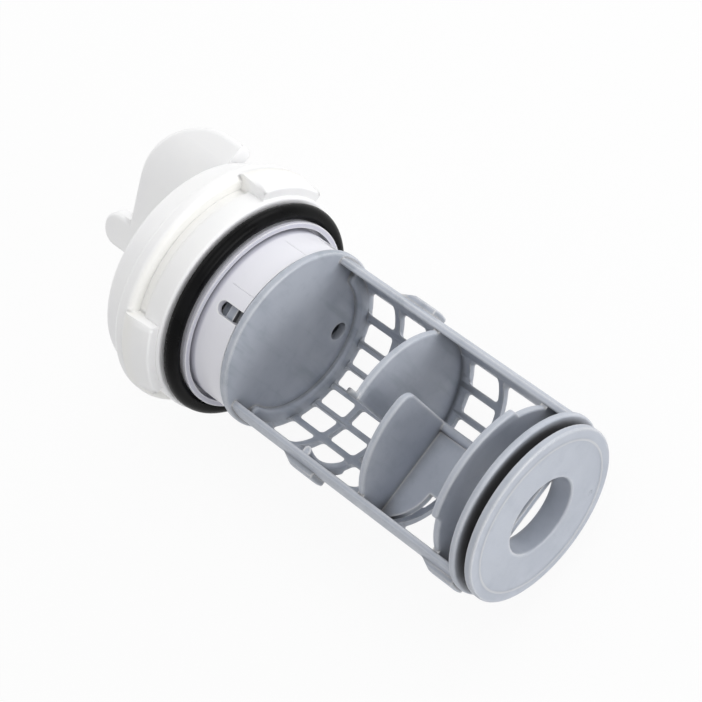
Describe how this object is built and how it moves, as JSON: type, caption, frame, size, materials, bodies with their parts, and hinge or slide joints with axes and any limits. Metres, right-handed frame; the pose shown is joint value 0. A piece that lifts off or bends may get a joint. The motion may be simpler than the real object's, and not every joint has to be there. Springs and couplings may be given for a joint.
{
  "type": "washer pump filter",
  "caption": "Drain pump filter of a washing machine: a bayonet cap with an S-shaped grip and a seal ring, snapped onto a slotted, open-sided cage with cross vanes and a round outlet.",
  "frame": {"origin": "on the axis, at the face of the cap's body that the seal ring sits against", "axes": "+X along the axis from the cap to the outlet end, +Z out of the cage's open side"},
  "size_m": [0.1447, 0.0642, 0.0644],
  "materials": {
    "cap": "white moulded polypropylene, satin gloss",
    "seal": "black rubber, dull sheen",
    "cage": "light blue-grey moulded polypropylene, satin"
  },
  "bodies": {
    "cap": {"screw_cap": "cap", "seal_ring": "seal"},
    "cage": {"filter_cage": "cage"}
  },
  "joints": [
    {"name": "cage_swivel", "type": "hinge", "parent": "cap", "child": "cage", "pos_m": [0, 0, 0], "axis": [1, 0, 0], "continuous": true}
  ]
}
